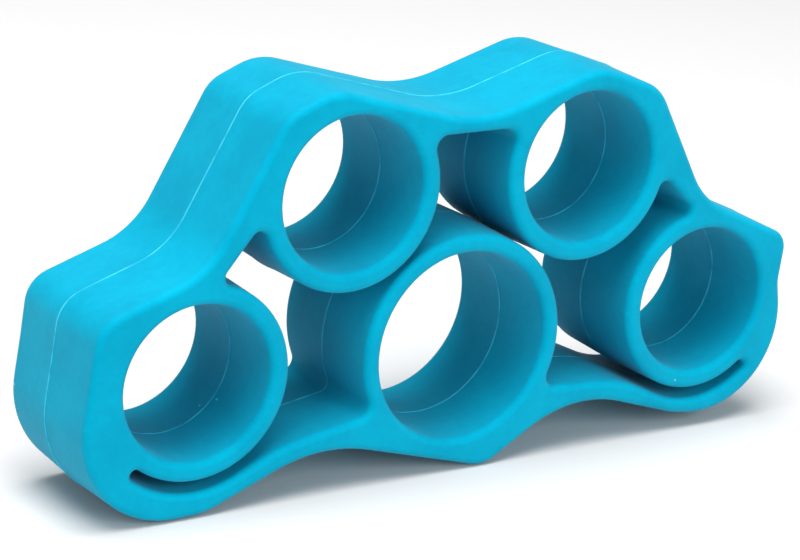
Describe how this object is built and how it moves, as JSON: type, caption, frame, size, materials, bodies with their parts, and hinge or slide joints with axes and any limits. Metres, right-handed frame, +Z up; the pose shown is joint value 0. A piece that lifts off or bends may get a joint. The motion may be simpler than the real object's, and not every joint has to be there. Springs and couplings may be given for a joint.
{
  "type": "hand grip strengthener",
  "caption": "One-piece moulded silicone finger exerciser: a thumb loop and a fan of finger loops joined by a wavy outer band.",
  "frame": {"origin": "under the middle of the part, on the surface it stands on", "axes": "+X along the row of finger loops, +Y through the bores towards the back, +Z up from the standing lobes to the upper loops"},
  "size_m": [0.0924, 0.0176, 0.0452],
  "materials": {
    "silicone": "matte moulded silicone, teal blue"
  },
  "bodies": {
    "band": {"thumb_loop": "silicone", "strap_left": "silicone", "strap_right": "silicone", "web_core_12": "silicone", "web_core_23": "silicone", "web_core_34": "silicone", "neck_side_1": "silicone", "neck_side_2": "silicone", "neck_side_3": "silicone", "neck_side_4": "silicone", "neck_strap_1": "silicone", "neck_strap_4": "silicone", "neck_top_2": "silicone", "neck_top_3": "silicone"},
    "finger_1": {"finger_loop_1": "silicone"},
    "finger_2": {"finger_loop_2": "silicone"},
    "finger_3": {"finger_loop_3": "silicone"},
    "finger_4": {"finger_loop_4": "silicone"}
  },
  "joints": [
    {"name": "pull_finger_1", "type": "slide", "parent": "band", "child": "finger_1", "axis": [-0.9063, 0, 0.4226], "range_m": [0, 0.005], "stiffness_N_per_m": 500, "deforming": ["neck_side_1", "neck_strap_1"]},
    {"name": "pull_finger_2", "type": "slide", "parent": "band", "child": "finger_2", "axis": [-0.628, 0, 0.7782], "range_m": [0, 0.004], "stiffness_N_per_m": 500, "deforming": ["neck_side_2", "neck_top_2"]},
    {"name": "pull_finger_3", "type": "slide", "parent": "band", "child": "finger_3", "axis": [0.628, 0, 0.7782], "range_m": [0, 0.004], "stiffness_N_per_m": 500, "deforming": ["neck_side_3", "neck_top_3"]},
    {"name": "pull_finger_4", "type": "slide", "parent": "band", "child": "finger_4", "axis": [0.9063, 0, 0.4226], "range_m": [0, 0.005], "stiffness_N_per_m": 500, "deforming": ["neck_side_4", "neck_strap_4"]}
  ]
}
